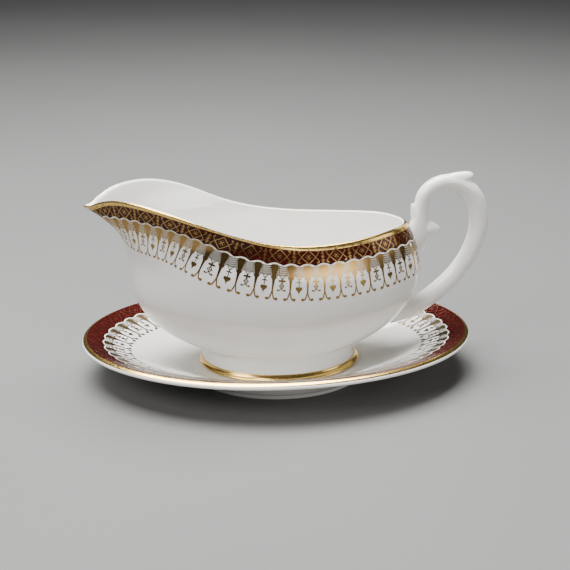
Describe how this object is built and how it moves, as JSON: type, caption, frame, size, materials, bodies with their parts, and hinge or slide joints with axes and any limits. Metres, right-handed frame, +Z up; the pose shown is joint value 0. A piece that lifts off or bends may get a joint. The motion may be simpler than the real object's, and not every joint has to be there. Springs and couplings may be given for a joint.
{
  "type": "gravy boat",
  "caption": "Oval footed gravy boat with a long lip and scrolled handle on its own oval stand, white china with a maroon band and gilt lace border.",
  "frame": {"origin": "centre of the stand's foot ring, on the surface that it stands on", "axes": "+Z up; -X towards the spout, +X towards the handle; Y across the bowl"},
  "size_m": [0.2055, 0.1326, 0.1023],
  "materials": {
    "china": "glossy warm white glaze",
    "gilding": "bright burnished gilding",
    "maroon_glaze": "glossy deep maroon ground",
    "gilt_print": "printed gilt ornament under a thin gloss"
  },
  "bodies": {
    "stand": {"stand_plate": "china", "stand_rim_gilding": "gilding", "stand_maroon_band": "maroon_glaze", "stand_band_gilt_print": "gilt_print", "stand_lace_border": "gilt_print"},
    "boat": {"boat_bowl": "china", "boat_handle": "china", "boat_rim_gilding": "gilding", "boat_maroon_band": "maroon_glaze", "boat_band_gilt_print": "gilt_print", "boat_lace_border": "gilt_print", "boat_foot_gilding": "gilding"}
  },
  "joints": [
    {"name": "boat_lift", "type": "slide", "parent": "stand", "child": "boat", "axis": [0, 0, 1], "range_m": [0, 0.15]}
  ]
}
